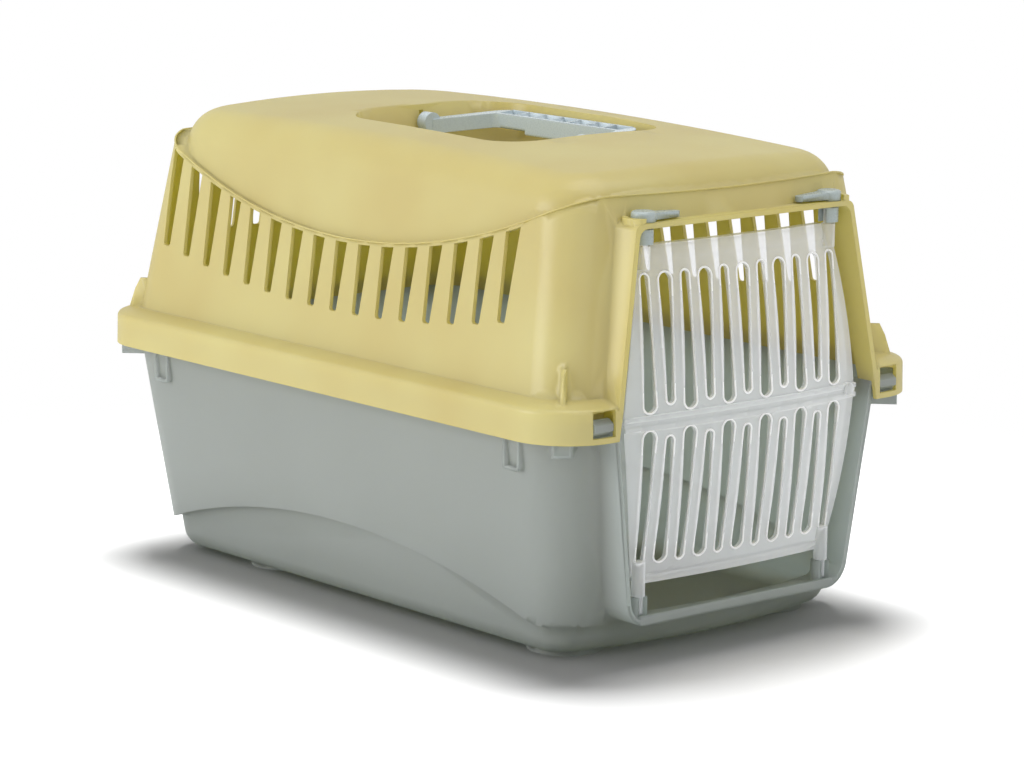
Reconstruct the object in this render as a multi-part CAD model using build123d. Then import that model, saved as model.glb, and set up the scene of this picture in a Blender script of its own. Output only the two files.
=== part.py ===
from build123d import *
from math import asin, atan2, degrees, radians, sin, sqrt, tan
import os

# Overall size: across and along the rim, and the crown of the roof
rim_width = 299.0
rim_length = 460.0
crown_height = 294.5

# Moulded walls, the plane where the shells part, and the free gap between pieces
wall = 2.6
parting_height = 148.5
free_gap = 0.4
overlap = 1.2

# Rim skirt of the upper shell and the ledge over it
rim_corner = 38.0
skirt_depth = 11.0
skirt_foot = parting_height - skirt_depth
skirt_draft = 1.0
shoulder_rise = 8.5
shoulder_height = parting_height + shoulder_rise
shoulder_round = 3.5
ledge_rise = 4.0
ledge_height = shoulder_height + ledge_rise

# Walls of the upper shell, measured from the rim
side_ledge = 15.0
back_ledge = 13.0
front_setback = 0.5
side_draft = 9.55
back_draft = 6.8
front_draft = 8.84
front_bow = 410.0
body_corner = 29.0

# Neckline that dips along each side, and the roof cap that stands inside it
neck_drop = 65.7
neck_low = crown_height - neck_drop
neck_radius = 476.0
neck_sweep = 44.7
neck_level = neck_low + neck_sweep
cap_step = 3.5
cap_corner = 42.0
roof_length_radius = 4200.0
roof_cross_radius = 1090.0
roof_crest = 60.0
roof_round = 24.0

# Ventilation slots along both sides
slots_per_half = 8
slot_pitch = 22.15
slot_centre = 13.0
slot_foot_width = 6.5
slot_taper = 3.1
slot_foot_round = 2.0
slot_margin = 2.4
slot_foot_rise = 23.5
slot_foot_height = ledge_height + slot_foot_rise
slot_foot_bow = 870.0

# Shorter slots in the back wall
back_slots_per_half = 4
back_slot_rise = 44.0
back_slot_foot = ledge_height + back_slot_rise
back_slot_length = 52.0

# Hand recess in the roof
recess_half_width = 67.5
recess_half_length = 84.0
recess_centre = -5.0
recess_corner = 29.0
recess_depth = 32.5
recess_draft = 12.0
recess_floor_round = 12.0
pan_wall = 2.4

# Doorway: a collar in front of both shells, widest at the parting plane
doorway_margin = 47.3
doorway_half = rim_width / 2 - doorway_margin
doorway_upper_taper = 9.64
doorway_lower_taper = 8.18
doorway_drop = 38.2
doorway_top = crown_height - doorway_drop
doorway_foot = 26.6
doorway_top_round = 6.0
doorway_foot_round = 13.0
collar_wall = 3.4
collar_plate = 3.0
plate_top = doorway_top + collar_plate
collar_draft = 3.6
lower_collar_draft = 2.2
collar_reveal = 3.4
collar_outer_round = 5.0
sill_lip = 2.7
sill_lip_width = 2.6

# Reinforcing fins at the four corners of the ledge
fin_thickness = 3.0
fin_rise = 17.3
fin_height = ledge_height + fin_rise
fin_tip = 23.0
fin_shoulder = 26.5
fin_shoulder_drop = 7.0
fin_foot = 31.0

# Lower shell, measured from the rim at the parting plane
lower_side_ledge = 13.5
lower_back_ledge = 11.7
lower_front_ledge = 1.6
lower_side_draft = 6.3
lower_back_draft = 7.9
lower_front_draft = 8.34
arch_peak = 53.0
arch_radius = 561.0
arch_centre = 5.0
arch_level = 22.0
tray_step = 5.5
tray_foot = 3.0
tray_round = 13.0
flange_thickness = 2.5
foot_radius = 23.0
foot_inset = 67.5
foot_across = rim_width / 2 - foot_inset
foot_back_inset = 118.0
foot_back = rim_length / 2 - foot_back_inset
foot_front_inset = 70.0
foot_front = rim_length / 2 - foot_front_inset

# Pocket ribs under the rim on both sides
rib_width = 15.0
rib_wall = 2.2
rib_depth = 33.0
rib_foot = parting_height - rib_depth
rib_reach = 3.5
rib_front_inset = 58.0
rib_back_inset = 55.0

# Tabs under the rim's corners
tab_width = 12.0
tab_depth = 19.0
tab_border = 2.0
tab_dent = 1.0

# Door hinge line, shared by the posts, the door's pins and the latch levers
hinge_inset = 27.7
hinge_x = doorway_half - hinge_inset
hinge_setback = 15.2
hinge_y = hinge_setback - rim_length / 2
pin_radius = 3.0
pin_play = 0.1
post_radius = 5.6
post_rise = 13.4
post_top = doorway_foot + post_rise
mouth_width = 6.6

# Door: a bulged panel with two rows of tapering slots
door_setback = 3.5
door_front = rim_length / 2 - door_setback
door_middle_drop = 3.5
door_middle = parting_height - door_middle_drop
door_bow_upright = 470.0
door_bow_across = 810.0
door_thickness = 2.6
door_top_gap = 10.8
door_top = doorway_top - door_top_gap
door_foot_gap = 20.2
door_foot = doorway_foot + door_foot_gap
door_top_margin = 25.2
door_half_top = doorway_half - door_top_margin
door_middle_margin = 8.7
door_half_middle = doorway_half - door_middle_margin
door_foot_margin = 23.7
door_half_foot = doorway_half - door_foot_margin
door_side_bow = 1.4
door_corner = 10.0
door_flange = 4.5
door_slots = 11
door_slot_pitch = 14.9
door_slot_wide = 9.0
door_slot_narrow = 5.5
slot_top_margin = 16.5
upper_row_top = door_top - slot_top_margin
upper_row_rise = 4.5
upper_row_foot = door_middle + upper_row_rise
lower_row_drop = 6.4
lower_row_top = door_middle - lower_row_drop
slot_foot_margin = 12.2
lower_row_foot = door_foot + slot_foot_margin
row_stagger = 4.2
door_rib_drop = 5.4
door_rib_foot = door_middle - door_rib_drop
door_rib_rise = 3.2
door_rib_top = door_middle + door_rib_rise
door_rib_proud = 2.0
door_band = 9.3
door_band_proud = 0.8
door_lip = 5.5
door_lip_proud = 1.2
door_boss_radius = 4.2
door_boss_length = 14.0
knuckle_gap = 0.3
knuckle_foot = post_top + knuckle_gap
top_pin_gap = 2.0
top_pin_end = doorway_top - top_pin_gap
foot_pin_gap = 3.1
foot_pin_end = doorway_foot + foot_pin_gap
knob_radius = 4.0
knob_inset = 8.0
knob_proud = 4.0
knob_round = 1.2

# Latch levers on the collar's top plate
lever_hub_radius = 7.3
lever_hub_height = 6.2
lever_hub_round = 2.0
lever_tip_radius = 3.0
lever_reach = 24.0
lever_root_radius = 5.6
lever_root_height = 5.2
lever_tip_height = 4.2
lever_lift = 0.9
lever_shaft_radius = 5.0
barrel_radius = 6.0
barrel_depth = 9.8
barrel_foot = doorway_top - barrel_depth
barrel_gap = 0.9
barrel_top = doorway_top - barrel_gap
guard_inner = 9.0
guard_outer = 12.2
guard_height = 3.0
bump_radius = 1.6
bump_reach = 14.0

# Carrying handle
handle_drop = 10.5
handle_height = crown_height - handle_drop
handle_pin_radius = 3.5
handle_end_gap = 5.0
handle_arm_half = recess_half_length - handle_end_gap
handle_arm_width = 8.0
handle_arm_depth = 9.2
handle_arm_sink = 2.6
handle_hub_radius = 6.4
handle_lean = 3.4
neck_width = 3.2
neck_rise = 6.8
grip_near = 42.0
grip_far = 57.0
grip_half = 64.0
grip_web = 6.0
grip_foot = -4.2
palm_foot = -7.3
palm_half = 30.0
grip_near_top = 4.2
grip_far_top = 5.8
grip_round = 1.4
grip_cells = 7
grip_cell_pitch = 16.6
grip_cell_web = 2.0
grip_cell_depth = 8.0
handle_corner = 14.0

# Snap tongues that stand on the lower shell and catch in the skirt's windows
tongue_margin = 34.6
tongue_centre = rim_width / 2 - tongue_margin
tongue_width = 14.0
tongue_thickness = 2.0
tongue_root = 1.2
tongue_setback = 5.8
tongue_line = rim_length / 2 - tongue_setback
tongue_flex = 15.0
tongue_seat_drop = 8.2
tongue_seat = parting_height - tongue_seat_drop
tongue_rise = 2.5
tongue_top = parting_height + tongue_rise
nose_reach = 4.7
nose_drop = 6.9
nose_foot = parting_height - nose_drop
nose_height = 3.9
window_gap = 0.8
window_top_gap = 0.6
window_top = shoulder_height - window_top_gap
shelf_thickness = 2.7
shelf_margin = 2.0
tongue_play = 0.05


def slope(angle):
    """Sideways run of a drafted wall for each millimetre of height."""
    return tan(radians(angle))


def front_prism(face, near, far):
    """Extrude a front view (x, z) from y = -near back to y = -far."""
    return extrude(Plane.XZ.offset(near) * face, amount=far - near)


def side_prism(face, half):
    """Extrude a side view (y, z) across the part."""
    return extrude(Plane.YZ * face, amount=half, both=True)


def closed(*corners):
    """Flat face inside a closed run of straight lines."""
    return make_face(Polyline(*corners, close=True))


def slab(low, high):
    """Level slice of space, larger than the part across and along."""
    return Pos(0, 0, (low + high) / 2) * Box(2 * rim_width, 2 * rim_length, high - low)


def cylinder(x, y, low, high, radius):
    """Upright cylinder between two heights."""
    return Pos(x, y, (low + high) / 2) * Cylinder(radius, high - low)


def upper_walls(height):
    """Half width, front and back of the upper shell at a height."""
    rise = height - ledge_height
    half = rim_width / 2 - side_ledge - rise * slope(side_draft)
    front = rim_length / 2 - front_setback - rise * slope(front_draft)
    back = rim_length / 2 - back_ledge - rise * slope(back_draft)
    return half, front, back


def lower_walls(height):
    """Half width, front and back of the lower shell at a height."""
    drop = parting_height - height
    half = rim_width / 2 - lower_side_ledge - drop * slope(lower_side_draft)
    front = rim_length / 2 - lower_front_ledge - drop * slope(lower_front_draft)
    back = rim_length / 2 - lower_back_ledge - drop * slope(lower_back_draft)
    return half, front, back


def walled_form(walls, foot, top, inset, corner):
    """Drafted body: flat sides and back, a coned front that bows outwards, round corners."""
    half, front, back = walls(foot)
    high_half, high_front, high_back = walls(top)
    low = half - inset
    high = high_half - inset
    across = closed((-low, foot), (low, foot), (high, top), (-high, top))
    rear = (back - inset, foot)
    rear_top = (high_back - inset, top)
    along = closed((-rim_length, foot), rear, rear_top, (-rim_length, top))
    centre = front_bow - rim_length / 2
    cone = Cone(centre + front - inset, centre + high_front - inset, top - foot)
    body = front_prism(across, rim_length, -rim_length) & side_prism(along, rim_width)
    body &= Pos(0, centre, (foot + top) / 2) * cone
    corners = [edge for edge in body.edges() if edge.bounding_box().size.Z > (top - foot) / 2]
    return fillet(corners, corner - inset)


def crowned_roof(drop):
    """Everything under the roof's crown, curved along and across."""
    half = rim_length / 2 + recess_depth
    top = crown_height - drop
    ends = []
    for y in (-half, half):
        fall = roof_length_radius - sqrt(roof_length_radius**2 - (y - roof_crest) ** 2)
        ends.append((y, top - fall))
    crown = ThreePointArc(ends[0], (roof_crest, top), ends[1])
    sides = Polyline(ends[1], (half, parting_height), (-half, parting_height), ends[0])
    section = Plane.YZ * make_face(crown + sides)
    axis = Axis((0, 0, crown_height - roof_cross_radius), (0, 1, 0))
    spread = degrees(asin(rim_width / roof_cross_radius))
    return revolve(section, axis, 2 * spread).rotate(axis, -spread)


def under_neckline(drop):
    """Everything under the curved neckline, lowered by a wall or a margin."""
    half = rim_length
    radius = neck_radius + drop
    centre = neck_low + neck_radius
    level = neck_level - drop
    turn = sqrt(radius**2 - (centre - level) ** 2)
    dip = ThreePointArc((-turn, level), (0, centre - radius), (turn, level))
    rear = Polyline((turn, level), (half, level), (half, 0), (-half, 0))
    front = Polyline((-half, 0), (-half, level), (-turn, level))
    return side_prism(make_face(dip + rear + front), rim_width)


def roof_cap(inset):
    """Rounded cap that rises out of the neckline."""
    form = walled_form(upper_walls, parting_height + wall, crown_height + wall, cap_step + inset, cap_corner)
    cap = form & crowned_roof(inset)
    brow = [edge for edge in cap.edges() if edge.center().Z > neck_low + roof_round]
    return fillet(brow, roof_round - inset)


def upper_form(foot, inset):
    """Outer or inner form of the upper shell above its rim."""
    proud = walled_form(upper_walls, foot, crown_height, inset, body_corner) & under_neckline(inset)
    return proud + roof_cap(inset)


def rim_plan(inset):
    """Plan of the rim with rounded corners."""
    return RectangleRounded(rim_width - 2 * inset, rim_length - 2 * inset, rim_corner - inset)


def rim_form(foot, inset):
    """Skirt and sloping ledge, as one solid."""
    shoulder = shoulder_height - inset
    draw = (shoulder_height - skirt_foot) * slope(skirt_draft)
    run = side_ledge - shoulder_round - draw
    rise = ledge_height - shoulder_height
    skirt = extrude(Pos(0, 0, foot) * rim_plan(inset), amount=shoulder - foot, taper=skirt_draft)
    top = skirt.faces().sort_by(Axis.Z)[-1]
    ledge = extrude(top, amount=rise, taper=degrees(atan2(run, rise)))
    form = skirt + ledge
    edges = [edge for edge in form.edges() if abs(edge.center().Z - shoulder) < free_gap]
    return fillet(edges, shoulder_round - inset / 2)


def recess_form(grow):
    """Hand recess with drafted walls and a rounded floor."""
    depth = recess_depth + grow
    change = grow - depth * slope(recess_draft)
    width = 2 * (recess_half_width + change)
    length = 2 * (recess_half_length + change)
    plan = RectangleRounded(width, length, recess_corner + change)
    floor = Pos(0, recess_centre, crown_height - depth) * plan
    form = extrude(floor, amount=depth + roof_round, taper=-recess_draft)
    return fillet(form.edges().group_by(Axis.Z)[0], recess_floor_round + grow)


def doorway_at(height):
    """Half width of the doorway at a height."""
    rise = height - parting_height
    if rise > 0:
        return doorway_half - rise * slope(doorway_upper_taper)
    return doorway_half + rise * slope(doorway_lower_taper)


def doorway_face(foot, top, grow, taper, end, corner):
    """Front view of one half of the doorway, with the corners at one end rounded."""
    low = doorway_half + (parting_height - foot) * slope(taper) + grow
    high = doorway_half + (parting_height - top) * slope(taper) + grow
    face = closed((-low, foot), (-high, top), (high, top), (low, foot))
    return fillet(face.vertices().group_by(Axis.Y)[end], corner)


def upper_doorway(foot, top, grow, corner):
    """Front view of the doorway in the upper shell."""
    return doorway_face(foot, top, grow, doorway_upper_taper, -1, corner)


def lower_doorway(foot, top, grow, corner):
    """Front view of the doorway in the lower shell."""
    return doorway_face(foot, top, grow, -doorway_lower_taper, 0, corner)


def upper_collar():
    """Collar round the upper doorway with its top plate."""
    front = rim_length / 2
    lean = (plate_top - parting_height) * slope(collar_draft)
    face = upper_doorway(parting_height, plate_top, collar_wall, collar_outer_round)
    block = front_prism(face, front + collar_wall, front / 2)
    slant = (lean - front, plate_top)
    depth = closed((-front, parting_height), slant, (0, plate_top), (0, parting_height))
    return block & side_prism(depth, rim_width)


def lower_collar():
    """Collar round the lower doorway, set back behind the skirt."""
    foot = doorway_foot - collar_plate
    front = rim_length / 2 - collar_reveal
    lean = (parting_height - foot) * slope(lower_collar_draft)
    face = lower_doorway(foot, parting_height, collar_wall, doorway_foot_round + collar_wall)
    block = front_prism(face, front + collar_wall, front / 2)
    slant = (lean - front, foot)
    depth = closed((-front, parting_height), slant, (0, foot), (0, parting_height))
    return block & side_prism(depth, rim_width)


def tapered_slot(place, foot, top):
    """Flat face of one ventilation slot that widens upwards."""
    low = slot_foot_width / 2
    high = low + (top - foot) * slope(slot_taper)
    return closed((place - low, foot), (place + low, foot), (place + high, top), (place - high, top))


def side_slots():
    """Tapering slots along both sides, cut off parallel to the neckline."""
    row = []
    for index in range(-slots_per_half, slots_per_half):
        y = slot_centre + slot_pitch * (index + 0.5)
        foot = slot_foot_height + y**2 / (2 * slot_foot_bow)
        face = tapered_slot(y, foot, neck_level)
        face = fillet(face.vertices().group_by(Axis.Y)[0], slot_foot_round)
        row.append(side_prism(face, rim_width))
    return Compound(row) & under_neckline(slot_margin)


def back_slots():
    """Shorter row of the same slots in the back wall."""
    row = []
    foot = back_slot_foot
    top = foot + back_slot_length
    for index in range(-back_slots_per_half, back_slots_per_half):
        face = tapered_slot(slot_pitch * (index + 0.5), foot, top)
        face = fillet(face.vertices(), slot_foot_round)
        row.append(front_prism(face, -rim_length / 2, -rim_length / 3))
    return row


def corner_fins():
    """Upright diagonal fins between the ledge and the walls."""
    x = rim_width / 2 - rim_corner
    y = rim_length / 2 - rim_corner
    foot = shoulder_height
    shoulder = fin_height - fin_shoulder_drop
    corners = ((0, foot), (fin_foot, foot), (fin_shoulder, shoulder), (fin_tip, fin_height), (0, fin_height))
    fin = extrude(Plane.XZ * closed(*corners), amount=fin_thickness / 2, both=True)
    fins = []
    for turn, side_x, side_y in ((45, 1, 1), (135, -1, 1), (225, -1, -1), (315, 1, -1)):
        fins.append(Pos(side_x * x, side_y * y, 0) * Rot(0, 0, turn) * fin)
    return fins


def skirt_windows():
    """Openings in the skirt where the snap tongues show."""
    half = tongue_width / 2 + window_gap
    foot = nose_foot - window_gap
    size = (2 * half, rim_length / 8, window_top - foot)
    windows = []
    for side in (-1, 1):
        for end in (-1, 1):
            y = end * (tongue_line + tongue_thickness / 2 + size[1] / 2)
            windows.append(Pos(side * tongue_centre, y, (foot + window_top) / 2) * Box(*size))
    return windows


def lever_guards():
    """Low curved walls on the collar's plate, outside the lever hubs."""
    ring = cylinder(hinge_x, hinge_y, plate_top - overlap, plate_top + guard_height, guard_outer)
    ring -= cylinder(hinge_x, hinge_y, plate_top - overlap, plate_top + guard_height, guard_inner)
    reach = doorway_at(plate_top) + collar_wall
    front = rim_length / 2 - (plate_top + guard_height - parting_height) * slope(collar_draft)
    start = hinge_x + lever_shaft_radius
    room = Box(reach - start, 2 * guard_outer, 2 * guard_outer)
    guard = ring & Pos((start + reach) / 2, guard_outer - front, plate_top) * room
    return [guard, mirror(guard, Plane.YZ)]


def detent_bumps():
    """Small bumps under the lever arms."""
    bumps = []
    for side in (-1, 1):
        x = side * (hinge_x - bump_reach)
        bumps.append(cylinder(x, hinge_y, plate_top - overlap, plate_top + lever_lift / 2, bump_radius))
    return bumps


def handle_pin_holes():
    """Holes in the ends of the recess with the necks where the pins are pressed in."""
    length = 2 * (recess_half_length + pan_wall)
    hole = Rot(90, 0, 0) * Cylinder(handle_pin_radius + pin_play, length)
    hole += Pos(0, 0, neck_rise / 2) * Box(neck_width, length, neck_rise)
    return Pos(0, recess_centre, handle_height) * hole


def upper_shell():
    """Upper shell: rim, drafted walls, roof cap, hand recess and collar."""
    shell = rim_form(skirt_foot, 0) - rim_form(skirt_foot - wall, wall)
    shell += upper_form(parting_height, 0)
    shell += upper_collar()
    for piece in corner_fins() + lever_guards() + detent_bumps():
        shell += piece
    shell -= upper_form(parting_height - wall, wall) - recess_form(pan_wall)
    shell -= recess_form(0)
    opening = upper_doorway(skirt_foot - wall, doorway_top, 0, doorway_top_round)
    shell -= front_prism(opening, rim_length, rim_length / 3)
    shell -= side_slots()
    for cut in back_slots() + skirt_windows():
        shell -= cut
    for side in (-1, 1):
        hole_foot = doorway_top - wall
        shell -= cylinder(side * hinge_x, hinge_y, hole_foot, plate_top, lever_shaft_radius + pin_play)
    return shell - handle_pin_holes()


def above_arch(lift):
    """Everything over the low arch that steps in along the lower sides."""
    half = rim_length
    radius = arch_radius + lift
    centre = arch_peak - arch_radius
    level = arch_level + lift
    turn = sqrt(radius**2 - (level - centre) ** 2)
    left = arch_centre - turn
    right = arch_centre + turn
    arch = ThreePointArc((left, level), (arch_centre, centre + radius), (right, level))
    top = crown_height
    rear = Polyline((right, level), (half, level), (half, top), (-half, top))
    front = Polyline((-half, top), (-half, level), (left, level))
    return side_prism(make_face(arch + rear + front), rim_width)


def lower_form(inset):
    """Outer or inner form of the tub: drafted walls over an inset tray."""
    foot = tray_foot + inset
    top = parting_height + 2 * inset
    proud = walled_form(lower_walls, foot, top, inset, body_corner) & above_arch(inset)
    tray = walled_form(lower_walls, foot, arch_peak + tray_round, tray_step + inset, body_corner)
    return proud + fillet(tray.edges().group_by(Axis.Z)[0], tray_round - inset)


def pocket_ribs():
    """U-shaped ribs on the side walls under the rim."""
    top = parting_height - flange_thickness
    middle = (rib_foot + top) / 2
    outer = Pos(0, middle) * Rectangle(rib_width, top - rib_foot)
    outer = fillet(outer.vertices().group_by(Axis.Y)[0], rib_wall)
    inner = Pos(0, middle + rib_wall) * Rectangle(rib_width - 2 * rib_wall, top - rib_foot)
    half = lower_walls(rib_foot)[0] + rib_reach
    places = (rib_front_inset - rim_length / 2, rim_length / 2 - rib_back_inset)
    return [side_prism(Pos(y, 0) * (outer - inner), half) for y in places]


def corner_tabs():
    """Bordered tabs on the tub's corners, just under the rim."""
    reach = rim_corner - wall - 2 * free_gap
    foot = parting_height - tab_depth
    top = parting_height - flange_thickness / 2
    tab = Pos(reach / 2, 0, (foot + top) / 2) * Box(reach, tab_width, top - foot)
    dent = Box(2 * tab_dent, tab_width - 2 * tab_border, top - foot)
    tab -= Pos(reach, 0, (foot + top) / 2 + tab_border) * dent
    x = rim_width / 2 - rim_corner
    y = rim_length / 2 - rim_corner
    tabs = []
    for turn, side_x, side_y in ((45, 1, 1), (135, -1, 1), (225, -1, -1), (315, 1, -1)):
        tabs.append(Pos(side_x * x, side_y * y, 0) * Rot(0, 0, turn) * tab)
    return tabs


def tongue_shelves():
    """Shelves under the tongues, from the walls to just inside the skirt's foot."""
    width = tongue_width + 2 * shelf_margin
    foot = tongue_seat - shelf_thickness
    plate = extrude(Pos(0, 0, foot) * rim_plan(wall + free_gap), amount=shelf_thickness)
    shelves = []
    for side in (-1, 1):
        for end in (-1, 1):
            y = end * (tongue_line - rim_corner / 2)
            room = Box(width, 2 * rim_corner, 2 * shelf_thickness)
            shelves.append(plate & Pos(side * tongue_centre, y, tongue_seat) * room)
    return shelves


def flange():
    """Flat flange under the parting plane, notched at the tongues."""
    plate = Pos(0, 0, parting_height - flange_thickness) * rim_plan(wall + free_gap)
    plate = extrude(plate, amount=flange_thickness)
    notch = tongue_width + 2 * window_gap
    swing = sin(radians(tongue_flex)) * (tongue_top - tongue_seat)
    start = tongue_line - tongue_thickness / 2 - window_gap - swing
    for side in (-1, 1):
        for end in (-1, 1):
            y = end * (start + notch)
            room = Box(notch, 2 * notch, 3 * flange_thickness)
            plate -= Pos(side * tongue_centre, y, parting_height) * room
    return plate


def hinge_post(side):
    """Post on the sill that takes the door's lower pin, open to the front."""
    post = cylinder(side * hinge_x, hinge_y, doorway_foot - collar_plate / 2, post_top, post_radius)
    post -= cylinder(side * hinge_x, hinge_y, doorway_foot, post_top + wall, pin_radius + pin_play)
    height = post_top - doorway_foot
    mouth = Box(mouth_width, 2 * post_radius, height)
    return post - Pos(side * hinge_x, hinge_y - post_radius, doorway_foot + height / 2) * mouth


def sill_front():
    """Low lip along the front of the sill."""
    front = rim_length / 2 - collar_reveal - (parting_height - doorway_foot) * slope(lower_collar_draft)
    length = 2 * (doorway_at(doorway_foot) - doorway_foot_round / 2)
    size = (length, sill_lip_width, sill_lip + collar_plate / 2)
    return Pos(0, -front + sill_lip_width / 2, doorway_foot + sill_lip - size[2] / 2) * Box(*size)


def lower_shell():
    """Lower shell: tub with stepped sides, flange, collar, sill and feet."""
    shell = lower_form(0) + flange() + lower_collar()
    for piece in pocket_ribs() + tongue_shelves() + corner_tabs():
        shell += piece
    for x in (-foot_across, foot_across):
        for y in (-foot_front, foot_back):
            shell += cylinder(x, y, 0, tray_foot + wall, foot_radius)
    shell -= lower_form(wall)
    opening = lower_doorway(doorway_foot, parting_height + wall, 0, doorway_foot_round)
    shell -= front_prism(opening, rim_length, rim_length / 3)
    for side in (-1, 1):
        shell += hinge_post(side)
    return shell + sill_front()


def door_skin(proud, depth):
    """Bulged sheet between two offsets of the door's outer face."""
    reach = door_top - door_middle + door_corner
    centre = door_bow_upright - door_front
    arcs = []
    for radius in (door_bow_upright + proud, door_bow_upright - depth):
        end = centre - sqrt(radius**2 - reach**2)
        arcs.append(((end, door_middle - reach), (centre - radius, door_middle), (end, door_middle + reach)))
    outer, inner = arcs
    edges = ThreePointArc(*outer) + Line(outer[2], inner[2])
    edges += ThreePointArc(*inner) + Line(inner[0], outer[0])
    axis = Axis((0, door_bow_across - door_front, 0), (0, 0, 1))
    spread = degrees(asin((door_half_middle + door_corner) / door_bow_across))
    return revolve(Plane.YZ * make_face(edges), axis, 2 * spread).rotate(axis, -spread)


def door_outline():
    """Front view of the door, widest at its middle rib."""
    top = (door_half_top, door_top)
    middle = (door_half_middle, door_middle)
    foot = (door_half_foot, door_foot)
    bends = []
    for a, b in ((top, middle), (middle, foot)):
        bends.append(((a[0] + b[0]) / 2 + door_side_bow, (a[1] + b[1]) / 2))
    edges = ThreePointArc(top, bends[0], middle) + ThreePointArc(middle, bends[1], foot)
    edges += mirror(edges, Plane.YZ)
    edges += Line((-door_half_top, door_top), top) + Line((-door_half_foot, door_foot), foot)
    face = make_face(edges)
    levels = face.vertices().group_by(Axis.Y)
    return fillet(levels[0] + levels[-1], door_corner)


def door_slot(x, top, top_width, foot, foot_width):
    """Tapering slot with round ends."""
    upper = Pos(x, top - top_width / 2) * Circle(top_width / 2)
    lower = Pos(x, foot + foot_width / 2) * Circle(foot_width / 2)
    return make_hull(upper.edges() + lower.edges())


def door_slot_faces():
    """Both rows; neighbours taper in opposite directions."""
    faces = []
    for index in range(door_slots):
        x = (index - (door_slots - 1) / 2) * door_slot_pitch
        outer = door_slot_narrow
        inner = door_slot_wide
        shift = 0
        if index % 2 == 1:
            outer = door_slot_wide
            inner = door_slot_narrow
            shift = row_stagger
        faces.append(door_slot(x, upper_row_top, outer, upper_row_foot + shift, inner))
        faces.append(door_slot(x, lower_row_top - shift, inner, lower_row_foot, outer))
    return faces


def finger_knob():
    """Round knob at the free end of the door's rib."""
    x = door_half_middle - knob_inset
    face_y = x**2 / (2 * door_bow_across) - door_front
    knob = Pos(x, face_y, door_middle) * Rot(90, 0, 0) * Cylinder(knob_radius, 2 * knob_proud)
    return fillet(knob.edges().group_by(Axis.Y)[0], knob_round)


def door():
    """Door panel with its rib, bands, flange, knob and four hinge pins."""
    near = door_front + 4 * door_thickness
    far = door_front / 2
    outline = door_outline()
    panel = door_skin(0, door_thickness)
    rib = door_skin(door_rib_proud, 0) & slab(door_rib_foot, door_rib_top)
    third = (door_rib_top - door_rib_foot) / 3
    groove = slab(door_rib_foot + third, door_rib_top - third)
    rib -= door_skin(2 * door_rib_proud, -door_rib_proud / 2) & groove
    band = door_skin(door_band_proud, 0) & slab(door_top - door_band, door_top)
    lip = door_skin(door_lip_proud, 0) & slab(door_foot, door_foot + door_lip)
    panel = (panel + rib + band + lip) & front_prism(outline, near, far)
    edge_ring = front_prism(outline - offset(outline, -door_thickness), near, far)
    panel += door_skin(0, door_flange) & edge_ring
    panel += finger_knob()
    for face in door_slot_faces():
        panel -= front_prism(face, near, far)
    for side in (-1, 1):
        x = side * hinge_x
        panel += cylinder(x, hinge_y, door_top - door_boss_length, door_top, door_boss_radius)
        panel += cylinder(x, hinge_y, door_top, top_pin_end, pin_radius)
        panel += cylinder(x, hinge_y, knuckle_foot, door_foot + door_boss_length, door_boss_radius)
        panel += cylinder(x, hinge_y, foot_pin_end, knuckle_foot, pin_radius)
    return panel


def lever_arm(seat):
    """Arm of the right lever: tapers and falls towards its tip, free of the plate."""
    root = Pos(hinge_x, hinge_y) * Circle(lever_root_radius)
    tip = Pos(hinge_x - lever_reach, hinge_y) * Circle(lever_tip_radius)
    plan = extrude(Pos(0, 0, seat) * make_hull(root.edges() + tip.edges()), amount=lever_hub_height)
    end = hinge_x - lever_reach - lever_tip_radius
    foot = seat + lever_lift
    high = seat + lever_root_height
    low = seat + lever_tip_height
    start = hinge_x + lever_root_radius
    view = closed((start, foot), (end, foot), (end, low), (hinge_x, high), (start, high))
    return plan & front_prism(view, rim_length, 0)


def latch_lever(side):
    """Turning lever: hub and arm on the top plate and a slotted barrel under it."""
    seat = plate_top + free_gap / 2
    hub = cylinder(hinge_x, hinge_y, seat, seat + lever_hub_height, lever_hub_radius)
    lever = fillet(hub.edges().group_by(Axis.Z)[-1], lever_hub_round) + lever_arm(seat)
    lever += cylinder(hinge_x, hinge_y, barrel_top, seat, lever_shaft_radius)
    lever += cylinder(hinge_x, hinge_y, barrel_foot, barrel_top, barrel_radius)
    bore_top = top_pin_end + free_gap
    lever -= cylinder(hinge_x, hinge_y, barrel_foot, bore_top, pin_radius + pin_play)
    height = bore_top - barrel_foot
    mouth = Box(2 * barrel_radius, mouth_width, height)
    lever -= Pos(hinge_x - barrel_radius, hinge_y, barrel_foot + height / 2) * mouth
    if side < 0:
        return mirror(lever, Plane.YZ)
    return lever


def handle_arms():
    """Two arms and the bar between them, seen from above, leaning up to the grip."""
    inner_half = handle_arm_half - handle_arm_width
    end = handle_arm_half
    outer = closed((0, -end), (grip_far, -grip_half), (grip_far, grip_half), (0, end))
    outer = fillet(outer.vertices().group_by(Axis.X)[-1], handle_corner)
    side = grip_half - grip_web
    start = -free_gap
    inner = closed((start, -inner_half), (grip_near, -side), (grip_near, side), (start, inner_half))
    inner = fillet(inner.vertices().group_by(Axis.X)[-1], handle_corner - handle_arm_width)
    arms = extrude(outer - inner, amount=handle_arm_depth / 2, both=True)
    return Pos(0, 0, -handle_arm_sink) * Rot(0, -handle_lean, 0) * arms


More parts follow.
